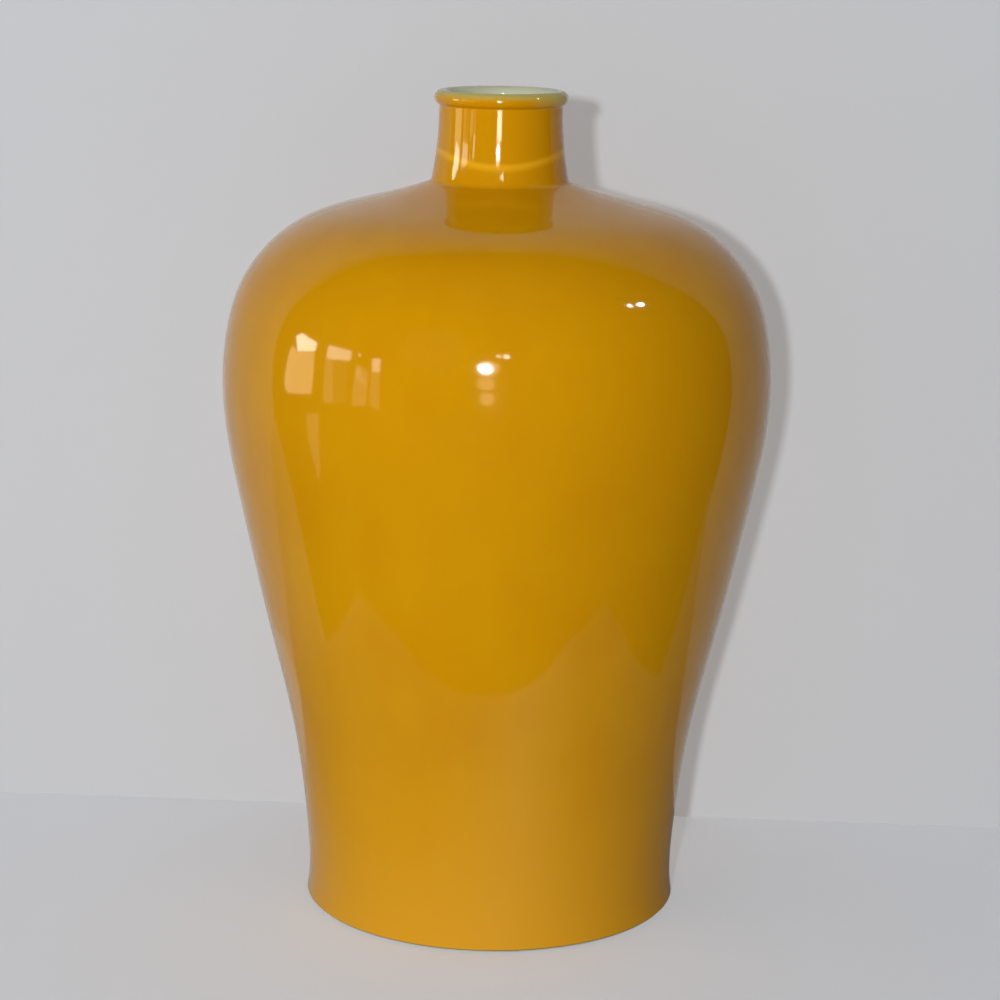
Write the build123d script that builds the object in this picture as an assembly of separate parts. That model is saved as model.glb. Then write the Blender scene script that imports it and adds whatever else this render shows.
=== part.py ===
"""Meiping vase of glazed porcelain, 380 mm tall.

The wall is thrown on the wheel as four body rings and a neck. Leather hard, they are trued on
bevelled seats, stuck together with slip, and turned outside to one outline, so that the joints
show only as low beads inside. Every piece is a solid of revolution about Z, with the face of
its foot ring on z = 0. Points of the half section are radius and height.
"""
from build123d import *
from math import acos, cos, degrees, radians, sin, tan
import os

# Driving sizes of the outline, in millimetres and degrees
belly_height = 248.0
shoulder_rise = 91.0
neck_height = 41.0
foot_radius = 87.3
belly_radius = 126.5
neck_top_radius = 28.2
neck_flare = 3.4
toe_lean = 10.0
shoulder_slope = 22.0

# The rolled lip stands out from the top of the neck
lip_overhang = 2.3

# Walls, floor and turned foot ring
body_wall = 5.0
neck_wall = 4.7
floor_thickness = 8.0
floor_corner_radius = 16.0
recess_depth = 8.0
foot_ring_width = 7.0
foot_ring_taper = 2.0
foot_edge_bevel = 1.4
shoulder_rim_radius = 2.0

# Joints between the thrown pieces
seat_bevel = 18.0
slip_thickness = 0.8
slip_bead_radius = 1.8
slip_fillet_radius = 3.0

# How far the outlines of cuts run past what they cut
overrun = 10.0

# Stations of the outline below the belly: shares of the belly's height, and of the swell from the
# foot's radius to the belly's
lower_outline_shares = [(0.06, -0.025), (0.16, 0.015), (0.32, 0.15), (0.53, 0.455), (0.77, 0.795)]

# Stations above the belly: shares of the rise from the belly to the neck's root, and of the spread
# from the neck's root out to the belly
upper_outline_shares = [(0.22, 0.983), (0.45, 0.925), (0.65, 0.80), (0.79, 0.63), (0.90, 0.32)]

# Sizes that follow from the driving ones
body_height = belly_height + shoulder_rise
vase_height = body_height + neck_height
neck_root_radius = neck_top_radius + neck_flare
mouth_radius = neck_top_radius - neck_wall
floor_level = recess_depth + floor_thickness
rim_underside = body_height - body_wall
lip_roll_radius = (lip_overhang + neck_wall) / 2
lip_roll_centre = Vector(mouth_radius + lip_roll_radius, vase_height - lip_roll_radius)


def lower_station(height_share, swell_share):
    """A point of the outline between the foot and the belly."""
    radius = foot_radius + swell_share * (belly_radius - foot_radius)
    return Vector(radius, height_share * belly_height)


def upper_station(rise_share, spread_share):
    """A point of the outline between the belly and the root of the neck."""
    radius = neck_root_radius + spread_share * (belly_radius - neck_root_radius)
    return Vector(radius, belly_height + rise_share * shoulder_rise)


def direction(angle):
    """A unit step at an angle from the outward radius."""
    return Vector(cos(radians(angle)), sin(radians(angle)))


toe = Vector(foot_radius, foot_edge_bevel)
belly = Vector(belly_radius, belly_height)
neck_root = Vector(neck_root_radius, body_height)
below_belly = [lower_station(*shares) for shares in lower_outline_shares]
above_belly = [upper_station(*shares) for shares in upper_outline_shares]
stations = [toe, *below_belly, belly, *above_belly, neck_root]
outline = Spline(*stations, tangents=[direction(90 + toe_lean), direction(180 - shoulder_slope)])

# The thrown pieces part at these stations of the outline
base_joint = below_belly[2]
waist_joint = below_belly[4]
shoulder_joint = above_belly[1]


def under_the_skin(station):
    """The point of the inner skin that lies square in from a station of the outline."""
    along = outline.tangent_at(station)
    return station + Vector(-along.Y, along.X) * body_wall


def inner_skin():
    """The inside of the body, from the floor to the rim that carries the neck."""
    floor_edge = Vector(under_the_skin(stations[1]).X, floor_level)
    rim_edge = Vector(mouth_radius, rim_underside)
    inside = [under_the_skin(station) for station in stations[2:-1]]
    return Spline(floor_edge, *inside, rim_edge, tangents=[direction(90), direction(180)])


def rounded(face, corner, radius):
    """A half section with the corner nearest a point rounded off or filled."""
    return fillet(face.vertices().sort_by_distance(corner)[0], radius)


def whole_wall():
    """Half section of the wall before it is parted: foot ring, body, neck, lip and bore."""
    ring_inside = foot_radius - foot_ring_width
    ring_outside = foot_radius - foot_edge_bevel
    recess_edge = Vector(ring_inside - foot_ring_taper, recess_depth)
    crease_angle = degrees(acos((neck_top_radius - lip_roll_centre.X) / lip_roll_radius))
    lip_roll = CenterArc(lip_roll_centre, lip_roll_radius, -crease_angle, 180 + crease_angle)
    inside = inner_skin()
    wall_section = make_face(
        [
            Polyline((0, recess_depth), recess_edge, (ring_inside, 0), (ring_outside, 0), toe),
            outline,
            TangentArc(lip_roll @ 0, neck_root, tangent=direction(-90)),
            lip_roll,
            Line(lip_roll @ 1, inside @ 1),
            inside,
            Polyline(inside @ 0, (0, floor_level), (0, recess_depth)),
        ]
    )
    wall_section = rounded(wall_section, inside @ 0, floor_corner_radius)
    return rounded(wall_section, inside @ 1, shoulder_rim_radius)


section = whole_wall()


def seat(joint, bevel=seat_bevel, lift=0.0):
    """The line that two pieces part on, from the axis to beyond the belly."""
    beyond = belly_radius + overrun
    slope = tan(radians(bevel))
    return [Vector(radius, joint.Y + lift + (joint.X - radius) * slope) for radius in (0, beyond)]


def between(low, high):
    """What the wall's section holds between two such lines."""
    return section & make_face(Polyline(*low, *reversed(high), close=True))


def thrown_ring(low_joint, high_joint, high_bevel=seat_bevel):
    """A body ring, from the top of the slip on its lower seat to its upper seat."""
    return between(seat(low_joint, lift=slip_thickness), seat(high_joint, high_bevel))


def slip_ring(joint):
    """The slip on a bevelled seat, with the bead that it squeezes out inside."""
    layer = between(seat(joint), seat(joint, lift=slip_thickness))
    squeezed = layer.vertices().sort_by(Axis.X)[0]
    return layer + (Pos(squeezed.X, squeezed.Y) * RegularPolygon(slip_bead_radius, 6) - section)


def neck_slip_ring():
    """The slip under the neck, drawn out into a small fillet round the root."""
    layer = between(seat(neck_root, 0), seat(neck_root, 0, slip_thickness))
    return layer + (rounded(section, neck_root, slip_fillet_radius) - section)


below_foot = Vector(0, -overrun)
above_lip = Vector(0, vase_height + overrun)
half_sections = {
    "base_section": between(seat(below_foot, 0), seat(base_joint)),
    "base_slip": slip_ring(base_joint),
    "lower_body_section": thrown_ring(base_joint, waist_joint),
    "waist_slip": slip_ring(waist_joint),
    "upper_body_section": thrown_ring(waist_joint, shoulder_joint),
    "shoulder_slip": slip_ring(shoulder_joint),
    "shoulder_section": thrown_ring(shoulder_joint, neck_root, 0),
    "neck_slip": neck_slip_ring(),
    "neck_and_lip": between(seat(neck_root, 0, slip_thickness), seat(above_lip, 0)),
}

os.makedirs("parts", exist_ok=True)
for node, half_section in half_sections.items():
    export_step(revolve(Plane.XZ * half_section, Axis.Z), os.path.join("parts", node + ".step"))
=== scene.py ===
import bpy
import numpy as np
from math import acos, atan2, cos, degrees, pi, radians, sin
from mathutils import Matrix, Vector


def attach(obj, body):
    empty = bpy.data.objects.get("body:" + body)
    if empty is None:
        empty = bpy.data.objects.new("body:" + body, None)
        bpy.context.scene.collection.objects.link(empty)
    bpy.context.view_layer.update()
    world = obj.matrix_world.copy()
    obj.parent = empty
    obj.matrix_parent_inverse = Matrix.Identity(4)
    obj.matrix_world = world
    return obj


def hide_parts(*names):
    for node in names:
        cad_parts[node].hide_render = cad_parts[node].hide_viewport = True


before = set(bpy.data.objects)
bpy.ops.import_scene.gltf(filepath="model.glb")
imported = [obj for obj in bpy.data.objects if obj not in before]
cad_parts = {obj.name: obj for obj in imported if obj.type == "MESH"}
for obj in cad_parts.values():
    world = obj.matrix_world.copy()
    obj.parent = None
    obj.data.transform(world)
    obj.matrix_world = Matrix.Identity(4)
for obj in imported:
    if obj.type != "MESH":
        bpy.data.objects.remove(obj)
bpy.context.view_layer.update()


# Fired clay of the vase
# The wall is porcelain, thrown as four rings and a neck that are stuck together with slip and turned
# to one outline. The firing has grown them into one body, bare only on the ring that it stands on.
belly_height = 0.248
shoulder_rise = 0.091
neck_height = 0.041
foot_radius = 0.0873
belly_radius = 0.1265
neck_top_radius = 0.0282
neck_flare = 0.0034
toe_lean = 10.0
shoulder_slope = 22.0
lip_overhang = 0.0023
body_wall = 0.005
neck_wall = 0.0047
floor_thickness = 0.008
floor_corner_radius = 0.016
recess_depth = 0.008
foot_ring_width = 0.007
foot_ring_taper = 0.002
foot_edge_bevel = 0.0014
shoulder_rim_radius = 0.002
neck_root_fillet = 0.003
lower_outline_shares = [(0.06, -0.025), (0.16, 0.015), (0.32, 0.15), (0.53, 0.455), (0.77, 0.795)]
upper_outline_shares = [(0.22, 0.983), (0.45, 0.925), (0.65, 0.80), (0.79, 0.63), (0.90, 0.32)]

# Small rounds that the glaze and the potter's sponge leave on the corners
lip_crease_radius = 0.0005
recess_corner_radius = 0.003
ring_edge_radius = 0.0006
seat_edge_radius = 0.0004

# Thickness of the glazes, and how they thin towards their edges
yellow_depth = 0.0004
white_depth = 0.0004
edge_depth_share = 0.25
edge_taper = 0.004
base_glaze_stop = 0.0022
foot_glaze_stop = 0.0006

# Marks of the thrower's fingers inside, and the beads of slip at the body's three joints
finger_pitch = 0.0085
finger_height = 0.00022
bead_height = 0.0013
bead_spread = 0.0017
joint_height_shares = [0.32, 0.77]

# How far the skins stay inside the true curves, because the CAD's flat facets lie inside them too
facet_depth = 0.0001

# How many steps go round and along a stretch of a curve, and how long those along the section are
turns = 192
curve_steps = 60
row_step = 0.0022
inner_step = 0.0017
neck_step = 0.0008
round_step = 0.0004
lip_step = 0.0003
seat_step = 0.0002
edge_step = 0.0001

# Edges that turn by more degrees than this look sharp
sharp_angle = 40

# The least cross product of two lines that anything is divided by
nearly_zero = 1e-16

# Where a glaze hides the clay, one point in so many is enough, unless the outline bends more than this
hidden_pace = 3
hidden_bend = 0.05

body_height = belly_height + shoulder_rise
vase_height = body_height + neck_height
neck_root_radius = neck_top_radius + neck_flare
mouth_radius = neck_top_radius - neck_wall
floor_level = recess_depth + floor_thickness
lip_roll_radius = (lip_overhang + neck_wall) / 2
lip_centre = (mouth_radius + lip_roll_radius, vase_height - lip_roll_radius)


def lengths_along(run):
    """The length of the run up to each of its points."""
    return np.append(0, np.cumsum(np.hypot(*np.diff(run, axis=0).T)))


def spaced(run, step):
    """The run of points again, at even steps of length: straight interpolation along its length."""
    length = lengths_along(run)
    places = np.linspace(0, length[-1], max(2, int(round(length[-1] / step)) + 1))
    return np.column_stack([np.interp(places, length, run[:, axis]) for axis in (0, 1)])


def straight(start, end, step=row_step):
    """Points evenly along a straight line."""
    return spaced(np.array([start, end], float), step)


def arc(centre, radius, first, last, step):
    """Points along an arc: centre + radius (cos a, sin a), the angle a in degrees."""
    count = max(3, int(round(abs(radians(last - first)) * radius / step)) + 1)
    angles = np.radians(np.linspace(first, last, count))
    return np.array(centre) + radius * np.column_stack([np.cos(angles), np.sin(angles)])


def curve_through(stations, first_way, last_way):
    """A cubic curve through stations, with the chord as parameter and its direction given at the ends.
    The directions at the stations between make the second derivative run on: a row of linear
    equations. Each stretch is the Hermite cubic of its two ends and their directions."""
    stations = np.array(stations, float)
    chord = np.hypot(*np.diff(stations, axis=0).T)
    slope = np.diff(stations, axis=0) / chord[:, None]
    rows = np.eye(len(stations))
    sides = np.zeros_like(stations)
    sides[0] = cos(radians(first_way)), sin(radians(first_way))
    sides[-1] = cos(radians(last_way)), sin(radians(last_way))
    for i in range(1, len(stations) - 1):
        rows[i, i - 1:i + 2] = chord[i], 2 * (chord[i - 1] + chord[i]), chord[i - 1]
        sides[i] = 3 * (chord[i] * slope[i - 1] + chord[i - 1] * slope[i])
    way = np.linalg.solve(rows, sides)
    t = np.linspace(0, 1, curve_steps)[:, None, None]
    here, there = stations[:-1], stations[1:]
    leave, arrive = way[:-1] * chord[:, None], way[1:] * chord[:, None]
    points = (
        (1 + 2 * t) * (1 - t) ** 2 * here
        + t * (1 - t) ** 2 * leave
        + t ** 2 * (3 - 2 * t) * there
        + t ** 2 * (t - 1) * arrive
    )
    points = points.transpose(1, 0, 2)
    return np.vstack([points[0], *[stretch[1:] for stretch in points[1:]]])


def right_hand(run):
    """Unit vectors square to the run, on the right of the way along it: (dz, -dr) over their length."""
    way = np.gradient(run, axis=0)
    way /= np.hypot(way[:, 0], way[:, 1])[:, None]
    return np.column_stack([way[:, 1], -way[:, 0]])


def rounded(first, second, radius, step=round_step):
    """Two runs that meet at a corner, joined by an arc. Both are moved by the radius to the side that
    the corner turns to. The moved runs cross at the arc's centre."""
    before, after = first[-1] - first[-2], second[1] - second[0]
    turn = np.sign(before[0] * after[1] - before[1] * after[0])
    a, b = first - turn * radius * right_hand(first), second - turn * radius * right_hand(second)
    da, db = np.diff(a, axis=0)[:, None], np.diff(b, axis=0)[None]
    gap = b[None, :-1] - a[:-1, None]
    across = da[..., 0] * db[..., 1] - da[..., 1] * db[..., 0]
    across = np.where(np.abs(across) < nearly_zero, nearly_zero, across)
    u = (gap[..., 0] * db[..., 1] - gap[..., 1] * db[..., 0]) / across
    v = (gap[..., 0] * da[..., 1] - gap[..., 1] * da[..., 0]) / across
    i, j = np.argwhere((u >= 0) & (u <= 1) & (v >= 0) & (v <= 1))[-1]
    centre = a[i] + u[i, j] * (a[i + 1] - a[i])
    leave = first[i] + u[i, j] * (first[i + 1] - first[i])
    arrive = second[j] + v[i, j] * (second[j + 1] - second[j])
    start = degrees(atan2(*(leave - centre)[::-1]))
    sweep = (degrees(atan2(*(arrive - centre)[::-1])) - start) * turn % 360
    bend = arc(centre, radius, start, start + turn * sweep, step)
    return np.vstack([first[:i + 1], bend, second[j + 1:]])


def lower_station(height_share, swell_share):
    """A point of the outline between the foot and the belly."""
    return foot_radius + swell_share * (belly_radius - foot_radius), height_share * belly_height


def upper_station(rise_share, spread_share):
    """A point of the outline between the belly and the root of the neck."""
    radius = neck_root_radius + spread_share * (belly_radius - neck_root_radius)
    return radius, belly_height + rise_share * shoulder_rise


toe = (foot_radius, foot_edge_bevel)
neck_root = (neck_root_radius, body_height)
stations = [toe, *[lower_station(*shares) for shares in lower_outline_shares]]
stations += [(belly_radius, belly_height), *[upper_station(*shares) for shares in upper_outline_shares]]
stations += [neck_root]
outline = curve_through(stations, 90 + toe_lean, 180 - shoulder_slope)


def side_of_neck():
    """The hollow side of the neck: the arc that leaves the lip straight down and ends at the neck's root.
    It comes with the angle, in degrees, at which it meets the roll of the lip."""
    crease = acos((neck_top_radius - lip_centre[0]) / lip_roll_radius)
    top = lip_centre[1] - lip_roll_radius * sin(crease)
    fall = top - body_height
    bow = (neck_flare ** 2 + fall ** 2) / (2 * neck_flare)
    low_angle = 180 + degrees(atan2(fall, bow - neck_flare))
    return arc((neck_top_radius + bow, top), bow, low_angle, 180, neck_step), degrees(crease)


def skin_inside():
    """The inside of the body: the stations moved in by the wall, from the floor to the neck's bore."""
    inward = -right_hand(outline)
    inside = []
    for station in stations[1:-1]:
        nearest = np.argmin(np.hypot(*(outline - station).T))
        inside.append(np.array(station) + body_wall * inward[nearest])
    floor_edge = (inside[0][0], floor_level)
    rim_edge = (mouth_radius, body_height - body_wall)
    return curve_through([floor_edge, *inside[1:], rim_edge], 90, 180)


ring_inside = foot_radius - foot_ring_width
neck_side, crease_angle = side_of_neck()
ring_wall = straight((ring_inside - foot_ring_taper, recess_depth), (ring_inside, 0), round_step)
under = rounded(straight((0, recess_depth), ring_wall[0]), ring_wall, recess_corner_radius)
bevel = straight((foot_radius - foot_edge_bevel, 0), toe, edge_step)
seat = straight((ring_inside, 0), bevel[0], seat_step)
is_glazed = under[:, 1] > base_glaze_stop
base_skin = under[is_glazed]
bare_skin = rounded(under[~is_glazed], seat, ring_edge_radius, edge_step)
bare_skin = rounded(bare_skin, bevel, seat_edge_radius, edge_step)
bare_skin = bare_skin[(bare_skin[:, 1] < foot_glaze_stop) | (bare_skin[:, 0] < bevel[0, 0])]
roll = arc(lip_centre, lip_roll_radius, -crease_angle, 90, lip_step)
outer_skin = rounded(spaced(outline, row_step), neck_side, neck_root_fillet)
outer_skin = rounded(outer_skin, roll, lip_crease_radius, edge_step)
outer_skin = np.vstack([bevel[bevel[:, 1] > foot_glaze_stop][:-1], outer_skin])
outer_skin -= facet_depth * right_hand(outer_skin)
bore = straight((mouth_radius, lip_centre[1]), (mouth_radius, body_height - body_wall), neck_step)
inner_skin = rounded(bore, spaced(skin_inside()[::-1], inner_step), shoulder_rim_radius)
floor = straight((inner_skin[-1, 0], floor_level), (0, floor_level), inner_step)
inner_skin = rounded(inner_skin, floor, floor_corner_radius, inner_step)
inner_skin = np.vstack([arc(lip_centre, lip_roll_radius, 90, 180, lip_step)[:-1], inner_skin])
inner_skin -= facet_depth * right_hand(inner_skin)


def with_beads(run):
    """The inner skin with a low round bead of slip at each joint: a bell curve of the length along."""
    length = lengths_along(run)
    joints = [belly_height * share for share in joint_height_shares]
    joints += [belly_height + upper_outline_shares[1][0] * shoulder_rise]
    swell = np.zeros(len(run))
    for height in joints:
        middle = length[np.argmin(np.abs(run[:, 1] - height) + (run[:, 0] < neck_root_radius))]
        swell += bead_height * np.exp(-((length - middle) / bead_spread) ** 2)
    return run + swell[:, None] * right_hand(run)


inner_skin = with_beads(inner_skin)


def beneath(run, depth, thin_start, thin_end):
    """The clay's side of a glaze: the run moved in by the glaze's depth, which falls to its edge share
    along a smooth step at the ends that are named thin."""
    length = lengths_along(run)
    near = np.full(len(run), np.inf)
    if thin_start:
        near = np.minimum(near, length)
    if thin_end:
        near = np.minimum(near, length[-1] - length)
    t = np.clip(near / edge_taper, 0, 1)
    thick = depth * (edge_depth_share + (1 - edge_depth_share) * t * t * (3 - 2 * t))
    return run - thick[:, None] * right_hand(run)


def quads_between(low, high, near, far):
    """The four corners of each face between two rings of points that start at low and at high."""
    low, high = low[:, None], high[:, None]
    return np.stack([low + near, low + far, high + far, high + near], -1).reshape(-1, 4).tolist()


def turned(name, section, lift=None):
    """A closed surface turned about Z. Row i of the section, at azimuth a, is at
    ((r + lift_r) cos a, (r + lift_r) sin a, z + lift_z), where the lift is a distance along the row's
    right hand that may change with the azimuth. Rows that start and end on the axis close in a point
    there, and other sections join their last row to their first. Faces point to the right of the
    section's way, which is away from the clay or glaze."""
    closed = section[0, 0] > edge_step
    azimuth = np.arange(turns) * 2 * pi / turns
    side = right_hand(section)
    away = np.zeros((len(section), turns)) if lift is None else lift(section, azimuth)
    radius = section[:, :1] + away * side[:, :1]
    height = section[:, 1:] + away * side[:, 1:]
    grid = np.stack([radius * np.cos(azimuth), radius * np.sin(azimuth), height], -1)
    near = np.arange(turns)
    far = (near + 1) % turns
    rows = np.arange(len(section))
    if closed:
        points = grid.reshape(-1, 3)
        low, high = rows * turns, np.roll(rows, -1) * turns
        faces = quads_between(low, high, near, far)
    else:
        points = np.vstack([grid[0, :1], grid[1:-1].reshape(-1, 3), grid[-1, :1]])
        low = 1 + np.arange(len(section) - 3) * turns
        high = low + turns
        last_ring = 1 + (len(section) - 3) * turns
        first_fan = np.stack([np.zeros(turns, int), 1 + far, 1 + near], -1)
        last_fan = np.stack([last_ring + near, last_ring + far, np.full(turns, len(points) - 1)], -1)
        faces = quads_between(low, high, near, far) + first_fan.tolist() + last_fan.tolist()
    mesh = bpy.data.meshes.new(name)
    mesh.from_pydata(points.tolist(), [], faces)
    mesh.polygons.foreach_set("use_smooth", np.ones(len(mesh.polygons), bool))
    mesh.set_sharp_from_angle(angle=radians(sharp_angle))
    mesh.update()
    piece = bpy.data.objects.new(name, mesh)
    bpy.context.scene.collection.objects.link(piece)
    return piece


base_under = beneath(base_skin, white_depth, False, True)
outer_under = beneath(outer_skin, yellow_depth, True, True)
inner_under = beneath(inner_skin, white_depth, True, False)


def thinned(run):
    """A hidden run with fewer points where it is nearly straight, and with both its ends."""
    way = np.unwrap(np.arctan2(*np.diff(run, axis=0).T[::-1]))
    kept = np.arange(len(run)) % hidden_pace == 0
    kept[1:-1] |= np.abs(np.diff(way)) > hidden_bend
    kept[-1] = True
    return run[kept]


clay_section = np.vstack([base_under, bare_skin, thinned(outer_under), thinned(inner_under)])
clay = turned("porcelain_body", clay_section)

clay_colour = (0.62, 0.57, 0.49, 1)
dark_clay = (0.56, 0.49, 0.39, 1)
grit_colour = (0.20, 0.15, 0.10, 1)
grit_core = 0.05
grit_edge = 0.13
clay_relief = 0.00012
clay_roughness = 0.62


def new_material(name, roughness):
    """A material with a Principled shader, given with its node tree and that shader."""
    material = bpy.data.materials.new(name)
    material.use_nodes = True
    shader = material.node_tree.nodes["Principled BSDF"]
    shader.inputs["Roughness"].default_value = roughness
    return material, material.node_tree, shader


def add(tree, kind, **values):
    """A node of the tree. Names in capitals set an input, written with _ for a space, others a property."""
    node = tree.nodes.new("ShaderNode" + kind)
    for name, value in values.items():
        if name[0].isupper():
            node.inputs[name.replace("_", " ")].default_value = value
        else:
            setattr(node, name, value)
    return node


def ramp(tree, value, stops):
    """A colour ramp over a value: stops are (place, colour)."""
    node = add(tree, "ValToRGB")
    points = node.color_ramp.elements
    points[0].position, points[0].color = stops[0]
    points[1].position, points[1].color = stops[-1]
    for place, colour in stops[1:-1]:
        points.new(place).color = colour
    tree.links.new(value, node.inputs[0])
    return node.outputs["Color"]


bare, tree, shader = new_material("bare_porcelain", clay_roughness)
place = add(tree, "TexCoord").outputs["Object"]
grain = add(tree, "TexNoise", Scale=900.0, Detail=4.0, Roughness=0.6)
cloud = add(tree, "TexNoise", Scale=45.0, Detail=3.0)
grit = add(tree, "TexVoronoi", Scale=420.0)
wheel = add(tree, "TexWave", wave_type="RINGS", rings_direction="Z", Scale=260.0, Distortion=1.5, Detail=2.0)
for texture in (grain, cloud, grit, wheel):
    tree.links.new(place, texture.inputs["Vector"])
tone = ramp(tree, cloud.outputs["Fac"], [(0.38, clay_colour), (0.66, dark_clay)])
spots = ramp(tree, grit.outputs["Distance"], [(grit_core, (1, 1, 1, 1)), (grit_edge, (0, 0, 0, 1))])
gritty = add(tree, "Mix", data_type="RGBA")
gritty.inputs["B"].default_value = grit_colour
tree.links.new(spots, gritty.inputs["Factor"])
tree.links.new(tone, gritty.inputs["A"])
tree.links.new(gritty.outputs["Result"], shader.inputs["Base Color"])
rough = add(tree, "Math", operation="ADD")
tree.links.new(grain.outputs["Fac"], rough.inputs[0])
tree.links.new(wheel.outputs["Fac"], rough.inputs[1])
relief = add(tree, "Bump", Strength=0.5, Distance=clay_relief)
tree.links.new(rough.outputs[0], relief.inputs["Height"])
tree.links.new(relief.outputs["Normal"], shader.inputs["Normal"])
clay.data.materials.append(bare)
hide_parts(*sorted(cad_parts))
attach(clay, "root")

# White glaze
# A clear glaze with a greenish cast covers the inside, from the crest of the lip down to the floor,
# and the recess under the foot. It shows the thrower's finger marks and the beads of slip.
white_colour = (0.62, 0.63, 0.48, 1)
thick_white = (0.52, 0.54, 0.38, 1)
white_index = 1.52
white_roughness = 0.09
finger_fade = 0.03
long_runs = (1, 1, 0.16)
runs_share = 0.35
pinhole_radius = 0.028
pinhole_floor = 0.018
pinhole_rarity = 0.86
swell_depth = 0.0011
peel_depth = 0.000012
pinhole_depth = 0.0002


def finger_marks(section, azimuth):
    """A shallow spiral groove: a sine of the height over the pitch, plus one turn for each round.
    It fades out at the mouth and shows only on the skin, not on the clay's side."""
    height = section[:, 1:]
    fade = np.clip((body_height - height) / finger_fade, 0, 1)
    exposed = np.arange(len(section))[:, None] >= len(lining_under)
    return exposed * fade * finger_height * np.sin(2 * pi * height / finger_pitch + azimuth)


lining_under = thinned(inner_under[::-1])
lining = turned("white_lining", np.vstack([lining_under, inner_skin]), finger_marks)
base_glaze = turned("base_glaze", np.vstack([base_skin, base_under[::-1]]))


def fired_glaze_group():
    """Unevenness that every glaze here shares. Tone goes from 0 to 1 over soft clouds and faint
    downward runs. Normal carries a slow swell of the surface, a fine orange peel and rare pinholes."""
    group = bpy.data.node_groups.new("fired_glaze", "ShaderNodeTree")
    face = group.interface
    for name, value in (("Swell", 0.5), ("Peel", 0.5)):
        face.new_socket(name, in_out="INPUT", socket_type="NodeSocketFloat").default_value = value
    face.new_socket("Tone", in_out="OUTPUT", socket_type="NodeSocketFloat")
    face.new_socket("Normal", in_out="OUTPUT", socket_type="NodeSocketVector")
    given, made = group.nodes.new("NodeGroupInput"), group.nodes.new("NodeGroupOutput")
    links = group.links
    place = add(group, "TexCoord").outputs["Object"]
    clouds = add(group, "TexNoise", Scale=22.0, Detail=5.0, Roughness=0.55)
    links.new(place, clouds.inputs["Vector"])
    stretched = add(group, "Mapping")
    stretched.inputs["Scale"].default_value = long_runs
    links.new(place, stretched.inputs["Vector"])
    runs = add(group, "TexNoise", Scale=60.0, Detail=3.0)
    links.new(stretched.outputs["Vector"], runs.inputs["Vector"])
    tone = add(group, "Mix", data_type="FLOAT", Factor=runs_share)
    links.new(clouds.outputs["Fac"], tone.inputs["A"])
    links.new(runs.outputs["Fac"], tone.inputs["B"])
    links.new(tone.outputs["Result"], made.inputs["Tone"])
    cells = add(group, "TexVoronoi", Scale=75.0, Randomness=1.0)
    links.new(place, cells.inputs["Vector"])
    holes = add(group, "MapRange")
    holes.inputs["From Min"].default_value = pinhole_radius
    holes.inputs["From Max"].default_value = pinhole_floor
    links.new(cells.outputs["Distance"], holes.inputs["Value"])
    rare = add(group, "Math", operation="GREATER_THAN")
    rare.inputs[1].default_value = pinhole_rarity
    chosen = add(group, "SeparateColor")
    links.new(cells.outputs["Color"], chosen.inputs["Color"])
    links.new(chosen.outputs["Red"], rare.inputs[0])
    pits = add(group, "Math", operation="MULTIPLY")
    links.new(holes.outputs["Result"], pits.inputs[0])
    links.new(rare.outputs[0], pits.inputs[1])
    slow = add(group, "TexNoise", Scale=16.0, Detail=1.0)
    links.new(place, slow.inputs["Vector"])
    swell = add(group, "Bump", Distance=swell_depth)
    links.new(given.outputs["Swell"], swell.inputs["Strength"])
    links.new(slow.outputs["Fac"], swell.inputs["Height"])
    fine = add(group, "TexNoise", Scale=320.0, Detail=1.0)
    links.new(place, fine.inputs["Vector"])
    peel = add(group, "Bump", Distance=peel_depth)
    links.new(given.outputs["Peel"], peel.inputs["Strength"])
    links.new(fine.outputs["Fac"], peel.inputs["Height"])
    links.new(swell.outputs["Normal"], peel.inputs["Normal"])
    sunk = add(group, "Bump", invert=True, Strength=0.6, Distance=pinhole_depth)
    links.new(pits.outputs[0], sunk.inputs["Height"])
    links.new(peel.outputs["Normal"], sunk.inputs["Normal"])
    links.new(sunk.outputs["Normal"], made.inputs["Normal"])
    return group


fired_glaze = fired_glaze_group()
white, tree, shader = new_material("white_glaze", white_roughness)
skin = add(tree, "Group", node_tree=fired_glaze, Swell=0.4, Peel=0.6)
cast = ramp(tree, skin.outputs["Tone"], [(0.36, white_colour), (0.64, thick_white)])
tree.links.new(cast, shader.inputs["Base Color"])
tree.links.new(skin.outputs["Normal"], shader.inputs["Normal"])
shader.inputs["IOR"].default_value = white_index
for piece in (lining, base_glaze):
    piece.data.materials.append(white)
    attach(piece, "root")

# Yellow glaze
# A glossy yellow glaze, poured over the whole outside and fired. It is thin and pale on the crest and right
# end of the lip. Painted light brightens a band round the neck and the body down to the olive line at the
# foot.
yellow = (0.635, 0.297, 0.0015, 1)
deep_yellow = (0.605, 0.268, 0.0010, 1)
thin_yellow = (0.52, 0.44, 0.12, 1)
foot_line_colour = (0.20, 0.18, 0.03, 1)
# Painted bounce light: the body is coloured brighter below this height, where the table's light falls on it
painted_bounce_yellow = (0.69, 0.325, 0.006, 1)
painted_bounce_height = 0.11
# Painted light: a brighter band round the lower neck, curved like a smile, where the shoulder mirrors the
# flash
painted_light_yellow = (0.80, 0.40, 0.010, 1)
light_band_height = 0.3478
light_band_rise = 0.0055
light_band_low_fade = 0.0034
light_band_high_fade = 0.0022
thin_right_start = 0.010
thin_right_end = 0.028
thin_right_low = 0.0085
thin_right_high = 0.0040
thin_right_share = 0.8
crest_low = 0.0036
crest_high = 0.0004
foot_line_rise = 0.0006
foot_line_share = 0.95
yellow_index = 1.46
yellow_roughness = 0.06

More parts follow.
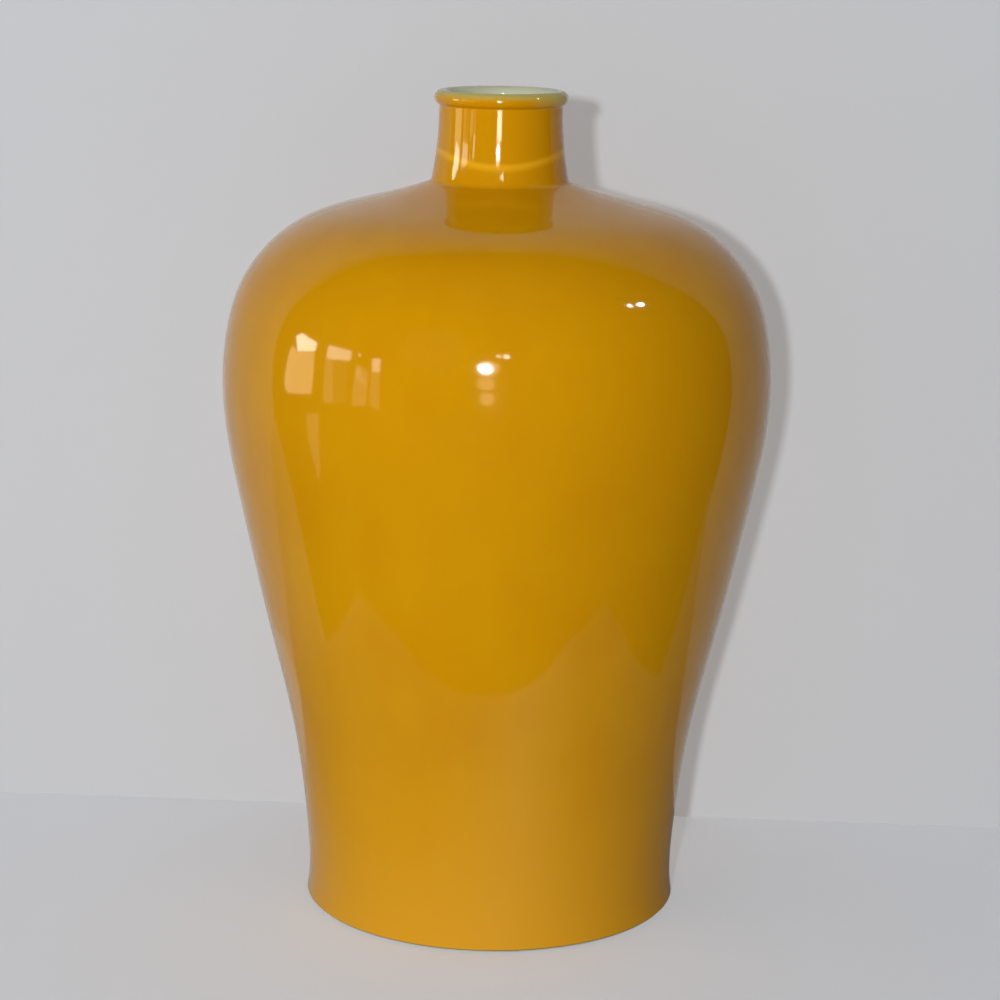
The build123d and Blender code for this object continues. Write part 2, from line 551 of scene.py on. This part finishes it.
coat = turned("yellow_glaze", np.vstack([outer_skin, thinned(outer_under[::-1])]))
fired, tree, shader = new_material("yellow_glaze", yellow_roughness)
shader.inputs["IOR"].default_value = yellow_index
skin = add(tree, "Group", node_tree=fired_glaze, Swell=0.5, Peel=0.35)
colour = ramp(tree, skin.outputs["Tone"], [(0.34, deep_yellow), (0.62, yellow)])
place = add(tree, "SeparateXYZ")
tree.links.new(add(tree, "TexCoord").outputs["Object"], place.inputs[0])


def band(start, end, along=None):
    """A mask that goes by a smooth step from 0 at one value to 1 at another. The value is the height
    unless another one is given."""
    node = add(tree, "MapRange", interpolation_type="SMOOTHSTEP")
    node.inputs["From Min"].default_value = start
    node.inputs["From Max"].default_value = end
    tree.links.new(place.outputs["Z"] if along is None else along, node.inputs["Value"])
    return node.outputs["Result"]


def times(first, second):
    """The product of two values."""
    node = add(tree, "Math", operation="MULTIPLY")
    tree.links.new(first, node.inputs[0])
    tree.links.new(second, node.inputs[1])
    return node.outputs[0]


def tinted(colour, tint, mask, share):
    """The colour with the tint mixed in by a share of the mask."""
    part = add(tree, "Math", operation="MULTIPLY")
    part.inputs[1].default_value = share
    tree.links.new(mask, part.inputs[0])
    mixed = add(tree, "Mix", data_type="RGBA")
    mixed.inputs["B"].default_value = tint
    tree.links.new(part.outputs[0], mixed.inputs["Factor"])
    tree.links.new(colour, mixed.inputs["A"])
    return mixed.outputs["Result"]


def risen_height():
    """The height less a rise to the sides: z - rise (x / r)^2, which is even along the painted light band."""
    node = add(tree, "Math", operation="MULTIPLY_ADD")
    node.inputs[1].default_value = -light_band_rise / neck_top_radius ** 2
    tree.links.new(times(place.outputs["X"], place.outputs["X"]), node.inputs[0])
    tree.links.new(place.outputs["Z"], node.inputs[2])
    return node.outputs[0]


# Painted light: the band round the lower neck that the shoulder's mirror of the flash lights
light_band_curve = risen_height()
light_band_below = band(light_band_height - light_band_low_fade, light_band_height, light_band_curve)
light_band_above = band(light_band_height + light_band_high_fade, light_band_height, light_band_curve)
lip_right = band(thin_right_start, thin_right_end, place.outputs["X"])
lip_front = band(vase_height - thin_right_low, vase_height - thin_right_high)
# Painted bounce light: brighter towards the foot
colour = tinted(colour, painted_bounce_yellow, band(painted_bounce_height, 0), 1.0)
colour = tinted(colour, painted_light_yellow, times(light_band_below, light_band_above), 1.0)
colour = tinted(colour, thin_yellow, times(lip_right, lip_front), thin_right_share)
colour = tinted(colour, thin_yellow, band(vase_height - crest_low, vase_height - crest_high), 1.0)
foot_line = band(foot_edge_bevel + foot_line_rise, foot_glaze_stop)
colour = tinted(colour, foot_line_colour, foot_line, foot_line_share)
tree.links.new(colour, shader.inputs["Base Color"])
tree.links.new(skin.outputs["Normal"], shader.inputs["Normal"])
coat.data.materials.append(fired)
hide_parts(*[node for node in sorted(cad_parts) if "slip" not in node])
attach(coat, "root")

# Table and wall
# A plain pale table top, and a plain pale cloth behind it that leans back and stands at a slight
# angle. They aren't part of the vase. The cloth shows only its front, so it hides nothing from behind.
wall_distance = 0.112
wall_turn = 3.55
wall_lean = 9.0
reach = 3.0
wall_pale = (0.48, 0.495, 0.52, 1)
table_pale = (0.66, 0.705, 0.775, 1)
wall_glow = 0.12
table_glow = 0.16
cloth_roughness = 0.9
cloth_gloss = 0.1


def sheet(name, points, material, faces=None):
    """A sheet that is no part of the vase: one face round all its points, or the faces given."""
    mesh = bpy.data.meshes.new(name)
    mesh.from_pydata(points, [], faces or [tuple(range(len(points)))])
    mesh.materials.append(material)
    made = bpy.data.objects.new(name, mesh)
    bpy.context.scene.collection.objects.link(made)
    return made


def seen_rays(tree):
    """A mask that is 1 for the rays that show a background: camera, glossy and transmission rays."""
    ray = add(tree, "LightPath")
    either = add(tree, "Math", operation="MAXIMUM")
    tree.links.new(ray.outputs["Is Camera Ray"], either.inputs[0])
    tree.links.new(ray.outputs["Is Glossy Ray"], either.inputs[1])
    seen = add(tree, "Math", operation="MAXIMUM")
    tree.links.new(either.outputs[0], seen.inputs[0])
    tree.links.new(ray.outputs["Is Transmission Ray"], seen.inputs[1])
    return seen.outputs[0]


def dull_cloth(name, colour, paler, one_sided):
    """Pale, dull cloth that looks paler by a given amount than the light on it would make it.
    One-sided cloth lets light and sight through from behind."""
    material, tree, shader = new_material(name, cloth_roughness)
    shader.inputs["Base Color"].default_value = colour
    shader.inputs["Specular IOR Level"].default_value = cloth_gloss
    shader.inputs["Emission Color"].default_value = (1, 1, 1, 1)
    shown = add(tree, "Math", operation="MULTIPLY")
    shown.inputs[1].default_value = paler
    tree.links.new(seen_rays(tree), shown.inputs[0])
    tree.links.new(shown.outputs[0], shader.inputs["Emission Strength"])
    if one_sided:
        mix = add(tree, "MixShader")
        tree.links.new(add(tree, "NewGeometry").outputs["Backfacing"], mix.inputs[0])
        tree.links.new(shader.outputs[0], mix.inputs[1])
        tree.links.new(add(tree, "BsdfTransparent").outputs[0], mix.inputs[2])
        tree.links.new(mix.outputs[0], tree.nodes["Material Output"].inputs["Surface"])
    return material


def on_wall(x, z, forward=0.0):
    """A point of the cloth, or a little in front of it."""
    y = wall_distance - x * sin(radians(wall_turn)) + z * sin(radians(wall_lean)) - forward
    return x, y, z


sheet("table_top", [(-reach, -reach, 0), (reach, -reach, 0), (reach, reach, 0), (-reach, reach, 0)],
      dull_cloth("table_cloth", table_pale, table_glow, False))
sheet("back_wall", [on_wall(-reach, 0), on_wall(reach, 0), on_wall(reach, reach), on_wall(-reach, reach)],
      dull_cloth("wall_cloth", wall_pale, wall_glow, True))

# Room that the glaze mirrors
# Sheets that only gloss can see: the dark room past the edges of the table and the cloth, with its
# window, flash and small lamps, and films that dim the table and the cloth as the light falls off.
room_grey = (0.018, 0.016, 0.014, 1)
bright_grey = (0.46, 0.49, 0.52, 1)

# The table's edge as x and y, and the cloth's edge as x and height
table_edge = [(-1.15, 0.183), (-1.13, 0.15), (-1.0, 0.12), (-0.74, 0.05), (-0.57, 0.018), (-0.46, -0.005)]
table_edge += [(-0.38, -0.025), (-0.32, -0.035), (-0.294, -0.042), (-0.297, -0.175), (-0.25, -0.20)]
table_edge += [(-0.19, -0.22), (-0.02, -0.234), (0.10, -0.236), (0.15, -0.242), (0.25, -0.225)]
table_edge += [(0.262, -0.16), (0.258, -0.10), (0.265, -0.02), (0.30, 0.0), (0.368, 0.023)]
table_edge += [(0.45, 0.055), (0.62, 0.0736)]
cloth_edge = [(0.50, 0.0), (0.515, 0.06), (0.527, 0.13), (0.525, 0.19), (0.56, 0.27), (0.61, 0.36)]
cloth_edge += [(0.66, 0.456), (0.71, 0.56), (0.76, 0.68), (0.84, 0.90), (0.90, 1.2), (0.95, 1.9)]
cloth_edge += [(0.60, 2.2), (-1.2, 2.2), (-1.5, 1.9), (-1.58, 1.2), (-1.52, 0.65), (-1.30, 0.33)]
cloth_edge += [(-1.25, 0.15), (-1.15, 0.0)]

# The dark room's walls, the films and the window
room_side = 1.6
room_front = -2.6
room_top = 2.4
veil_middle = (-0.03, 0, 0.25)
veil_start = 0.08
veil_end = 0.34
veil_most = 0.36
right_start = 0.05
right_end = 0.45
right_most = 0.20
top_start = 0.6
top_end = 2.2
strip_front = (0.01, -0.134, 0)
strip_turn = 31.0
strip_left_start = -0.18
strip_left_end = -0.30
strip_left_near = 0.066
strip_left_far = 0.20
film_start = -0.06
film_end = 0.12
film_most = 0.77
far_share = 14
table_layer = 0.0003
wall_layer = 0.001
window_side = -64.0
window_distance = 1.2
warm_white = (1, 0.86, 0.66, 1)
orange_light = (1, 0.70, 0.40, 1)
pure_white = (1, 1, 1, 1)
sky_white = (1, 0.97, 0.78, 1)


def glow(name, colour, strength):
    """A material of even brightness."""
    material = bpy.data.materials.new(name)
    material.use_nodes = True
    tree = material.node_tree
    tree.nodes.remove(tree.nodes["Principled BSDF"])
    light = add(tree, "Emission", Color=colour, Strength=strength)
    tree.links.new(light.outputs[0], tree.nodes["Material Output"].inputs["Surface"])
    return material


def mirrored(made):
    """The sheet made to show only in the gloss of the glaze."""
    made.visible_camera = False
    made.visible_diffuse = False
    made.visible_transmission = False
    made.visible_volume_scatter = False
    made.visible_shadow = False
    return made


def pane(name, side, distance, outline, colour, strength):
    """An upright pane that faces the vase from a side, in degrees from the front towards the right.
    Its outline is a row of corners: how far along the level, and how high."""
    away = Vector((sin(radians(side)), -cos(radians(side)), 0)) * distance
    along = Vector((cos(radians(side)), sin(radians(side)), 0))
    corners = [tuple(away + along * across)[:2] + (height,) for across, height in outline]
    return mirrored(sheet(name, corners, glow(name, colour, strength)))


def oval(middle, width, height):
    """Eight corners round an oval: the middle + (width / 2 cos a, height / 2 sin a)."""
    angles = [(i + 0.5) * pi / 4 for i in range(8)]
    return [(middle[0] + width / 2 * cos(a), middle[1] + height / 2 * sin(a)) for a in angles]


def upright(left, right, low, high):
    """The corners of a rectangle."""
    return [(left, low), (right, low), (right, high), (left, high)]


def dark_sheet(name, corners):
    """A sheet of the dark room."""
    return mirrored(sheet(name, corners, dark))


dark = glow("dark_room", room_grey, 1.0)
side, front, top = room_side, room_front, room_top
dark_sheet("dark_front", [(-side, front, 0), (side, front, 0), (side, front, top), (-side, front, top)])
dark_sheet("dark_left", [on_wall(-side, 0), (-side, front, 0), (-side, front, top), on_wall(-side, top)])
dark_sheet("dark_right", [(side, front, 0), on_wall(side, 0), on_wall(side, top), (side, front, top)])
dark_sheet("dark_ceiling", [(-side, front, top), (side, front, top), on_wall(side, top), on_wall(-side, top)])


def dark_past(name, edge, place):
    """The dark room past the edge of a cloth: the edge joined to a copy of it many times as far."""
    points = [place(share * x, share * y) for share in (1, far_share) for x, y in edge]
    count = len(edge)
    faces = [(i, i + 1, count + i + 1, count + i) for i in range(count - 1)]
    return mirrored(sheet(name, points, dark, faces))


dark_past("dark_table", table_edge, lambda x, y: (x, y, table_layer))
dark_past("dark_wall", cloth_edge, lambda x, z: on_wall(x, z, 2 * wall_layer))


def film(name, away, start, end, most):
    """Dark film over what is mirrored. The share that it covers goes by a smooth step from 0 to the
    most, as the distance that is given goes from the start to the end."""
    material = glow(name, room_grey, 1.0)
    tree = material.node_tree
    cover = add(tree, "MapRange", interpolation_type="SMOOTHSTEP")
    for label, value in (("From Min", start), ("From Max", end), ("To Max", most)):
        cover.inputs[label].default_value = value
    tree.links.new(away(tree, add(tree, "TexCoord").outputs["Object"]), cover.inputs["Value"])
    mix = add(tree, "MixShader")
    tree.links.new(cover.outputs["Result"], mix.inputs[0])
    tree.links.new(add(tree, "BsdfTransparent").outputs[0], mix.inputs[1])
    tree.links.new(tree.nodes["Emission"].outputs[0], mix.inputs[2])
    tree.links.new(mix.outputs[0], tree.nodes["Material Output"].inputs["Surface"])
    return material


def from_behind_vase(tree, place):
    """The distance on the cloth from the point behind the belly: the length of (x, 0, z) - point."""
    flat = add(tree, "VectorMath", operation="MULTIPLY")
    flat.inputs[1].default_value = (1, 0, 1)
    tree.links.new(place, flat.inputs[0])
    away = add(tree, "VectorMath", operation="DISTANCE")
    away.inputs[1].default_value = veil_middle
    tree.links.new(flat.outputs["Vector"], away.inputs[0])
    return away.outputs["Value"]


def along(axis):
    """A distance that is one of the three coordinates."""
    def away(tree, place):
        parts = add(tree, "SeparateXYZ")
        tree.links.new(place, parts.inputs[0])
        return parts.outputs[axis]
    return away


def from_lit_strip(tree, place):
    """The distance on the table from the best lit strip, which runs from the front of the foot to the
    left of the vase: the length of the part of (point - front) that is square to the strip. Far to the
    left it is held to a smaller value, because the table is lit again there."""
    from_front = add(tree, "VectorMath", operation="SUBTRACT")
    from_front.inputs[1].default_value = strip_front
    tree.links.new(place, from_front.inputs[0])
    square = add(tree, "VectorMath", operation="DOT_PRODUCT")
    square.inputs[1].default_value = (cos(radians(strip_turn)), sin(radians(strip_turn)), 0)
    tree.links.new(from_front.outputs["Vector"], square.inputs[0])
    away = add(tree, "Math", operation="ABSOLUTE")
    tree.links.new(square.outputs["Value"], away.inputs[0])
    most = add(tree, "MapRange")
    for label, value in (("From Min", strip_left_end), ("From Max", strip_left_start),
                         ("To Min", strip_left_near), ("To Max", strip_left_far)):
        most.inputs[label].default_value = value
    tree.links.new(along("X")(tree, place), most.inputs["Value"])
    held = add(tree, "Math", operation="MINIMUM")
    tree.links.new(away.outputs[0], held.inputs[0])
    tree.links.new(most.outputs["Result"], held.inputs[1])
    return held.outputs[0]


table_film = film("table_film", from_lit_strip, film_start, film_end, film_most)
mirrored(sheet("table_veil", [(x, y, 2 * table_layer) for x, y in table_edge], table_film))
for layers, name, away, start, end, most in (
    (3, "cloth_film", from_behind_vase, veil_start, veil_end, veil_most),
    (4, "right_film", along("X"), right_start, right_end, right_most),
    (5, "top_film", along("Z"), top_start, top_end, 1.0),
):
    corners = [on_wall(x, z, layers * wall_layer) for x, z in upright(-side, side, 0, top)]
    mirrored(sheet(name, corners, film(name, away, start, end, most)))
# A painted pale patch, seen only in the gloss, that makes the mirrored cloth lighter at its low left corner
bright_corner = [(-0.245, 0), (-0.165, 0), (-0.165, 0.075), (-0.245, 0.035)]
corners = [on_wall(x, z, 6 * wall_layer) for x, z in bright_corner]
mirrored(sheet("bright_corner", corners, glow("bright_corner", bright_grey, 1.0)))
for name, outline, colour, strength in (
    ("window_sky", [(-0.592, 0.52), (-0.511, 0.398), (-0.287, 0.441), (-0.29, 0.514), (-0.523, 0.563)],
     sky_white, 12.0),
    ("window_curtain", [(-0.655, 0.194), (-0.599, 0.142), (-0.273, 0.181), (-0.265, 0.30),
                        (-0.288, 0.435), (-0.515, 0.392), (-0.60, 0.43), (-0.626, 0.40)],
     orange_light, 4.6),
    ("window_middle", [(-0.162, 0.521), (-0.15, 0.412), (0.084, 0.442), (0.078, 0.525)], warm_white, 7.0),
    ("window_bar", [(-0.157, 0.404), (-0.139, 0.145), (-0.036, 0.158), (-0.075, 0.415)], orange_light, 1.7),
    ("window_shade", [(-0.071, 0.411), (-0.031, 0.158), (0.085, 0.172), (0.07, 0.424)], orange_light, 0.5),
    ("window_chair", [(0.142, 0.158), (0.274, 0.171), (0.27, 0.396), (0.147, 0.432)], orange_light, 1.8),
    ("window_chair_top", [(0.15, 0.34), (0.262, 0.30), (0.215, 0.37), (0.16, 0.42)], warm_white, 4.5),
    ("window_spot", upright(0.145, 0.17, 0.495, 0.52), warm_white, 7.0),
    ("window_edge", [(0.301, 0.40), (0.374, 0.411), (0.363, 0.523), (0.284, 0.51)], warm_white, 7.0),
    ("window_low_edge", [(0.302, 0.174), (0.392, 0.144), (0.373, 0.405), (0.296, 0.395)], orange_light, 1.5),
):
    pane(name, window_side, window_distance, outline, colour, strength)
# A painted orange streak of light on the table, seen only in the gloss of the glaze
streak = [(-1.494, -0.259), (-0.842, -0.174), (-0.529, -0.149)]
streak += [(-0.584, -0.184), (-0.834, -0.258), (-1.563, -0.447)]
streak = [(x, y, 3 * table_layer) for x, y in streak]
mirrored(sheet("floor_streak", streak, glow("floor_streak", orange_light, 1.2)))
pane("flash_core", 0, 1.2, oval((-0.087, 0.507), 0.115, 0.085), pure_white, 120.0)
pane("flash_ring", 0, 1.21, oval((-0.090, 0.513), 0.165, 0.140), warm_white, 9.0)
pane("flash_glow", 0, 1.215, oval((-0.071, 0.517), 0.210, 0.155), orange_light, 5.0)
# Painted reflections, only in the gloss: a glowing strip round the flash, a dark card that keeps the strip
# off the
# belly, and two dim orange glows that show below the flash's highlight
pane("front_strip", 0, 1.22, upright(-0.140, 0.035, 0.18, 0.445), warm_white, 22.0)
pane("front_card", 0, 0.41, upright(-0.060, 0.045, 0.215, 0.318), room_grey, 1.0)
pane("ghost_high", 0, 0.40, oval((-0.0245, 0.2975), 0.046, 0.031), orange_light, 3.6)
pane("ghost_low", 0, 0.40, oval((-0.0220, 0.2640), 0.038, 0.031), orange_light, 3.6)
pane("small_lamp_left", 0, 1.2, upright(0.005, 0.04, 0.63, 0.66), warm_white, 16.0)
pane("small_lamp_right", 0, 1.2, upright(0.065, 0.115, 0.62, 0.66), warm_white, 24.0)
pane("side_lamp_left", 78, 1.2, upright(-0.17, -0.13, 1.32, 1.42), pure_white, 45.0)
pane("side_lamp_right", 78, 1.2, upright(-0.06, 0.02, 1.26, 1.34), pure_white, 70.0)

# Lamps
# A small lamp behind the camera throws the vase's shadow. Wide lamps at the left and behind the cloth
# throw none. Weak lamps at the window's side and overhead fill in, with a warm sky that is seen pale.
key_place = Vector((-0.26, -2.40, 0.62))
key_size = 0.07
key_power = 23.7
side_place = Vector((-1.42, -2.66, 1.42))
side_size = 1.3
side_power = 36.0
back_place = Vector((0.3, 2.5, 0.55))
back_size = 1.4
back_power = 14.0
fill_place = Vector((-1.5, -0.5, 0.5))
fill_size = 0.9
fill_power = 1.6
fill_colour = (1.0, 0.96, 0.90)
top_place = Vector((0, -0.6, 1.6))
top_size = 0.8
top_power = 1.4
aim_share = 0.8
sky_light = (0.064, 0.045, 0.031, 1)
sky_seen = (0.55, 0.55, 0.56, 1)


def lamp(name, place, size, power, colour=(1, 1, 1), shadow=True):
    """A square soft lamp that isn't mirrored in the glaze and faces the vase, at a share of the belly's
    height."""
    data = bpy.data.lights.new(name, "AREA")
    data.size = size
    data.energy = power
    data.color = colour
    data.use_shadow = shadow
    made = bpy.data.objects.new(name, data)
    target = Vector((0, 0, aim_share * belly_height))
    turn = (place - target).to_track_quat("Z", "Y").to_matrix().to_4x4()
    made.matrix_world = Matrix.Translation(place) @ turn
    made.visible_glossy = False
    bpy.context.scene.collection.objects.link(made)
    return made


lamp("soft_key", key_place, key_size, key_power)
lamp("soft_side", side_place, side_size, side_power, shadow=False)
lamp("soft_back", back_place, back_size, back_power, shadow=False)
lamp("window_fill", fill_place, fill_size, fill_power, fill_colour)
lamp("top_light", top_place, top_size, top_power)
world = bpy.data.worlds.new("pale_sky")
world.use_nodes = True
tree = world.node_tree
sky = add(tree, "Mix", data_type="RGBA")
sky.inputs["A"].default_value = sky_light
sky.inputs["B"].default_value = sky_seen
tree.links.new(seen_rays(tree), sky.inputs["Factor"])
tree.links.new(sky.outputs["Result"], tree.nodes["Background"].inputs["Color"])
bpy.context.scene.world = world

# Camera
# A long lens that stands a little higher than the lip and looks down at the vase. It is turned by about
# a degree round its line of sight.
camera_place = Vector((0.00224, -1.254, 0.46645))
lens_mm = 99.0
sensor_mm = 36.0
look_down = 12.43
roll_right = 0.908

data = bpy.data.cameras.new("camera")
data.lens = lens_mm
data.sensor_width = sensor_mm
camera = bpy.data.objects.new("camera", data)
tilt = Matrix.Rotation(radians(90 - look_down), 4, "X") @ Matrix.Rotation(radians(roll_right), 4, "Z")
camera.matrix_world = Matrix.Translation(camera_place) @ tilt
bpy.context.scene.collection.objects.link(camera)
bpy.context.scene.camera = camera
bpy.context.scene.view_settings.view_transform = "Standard"
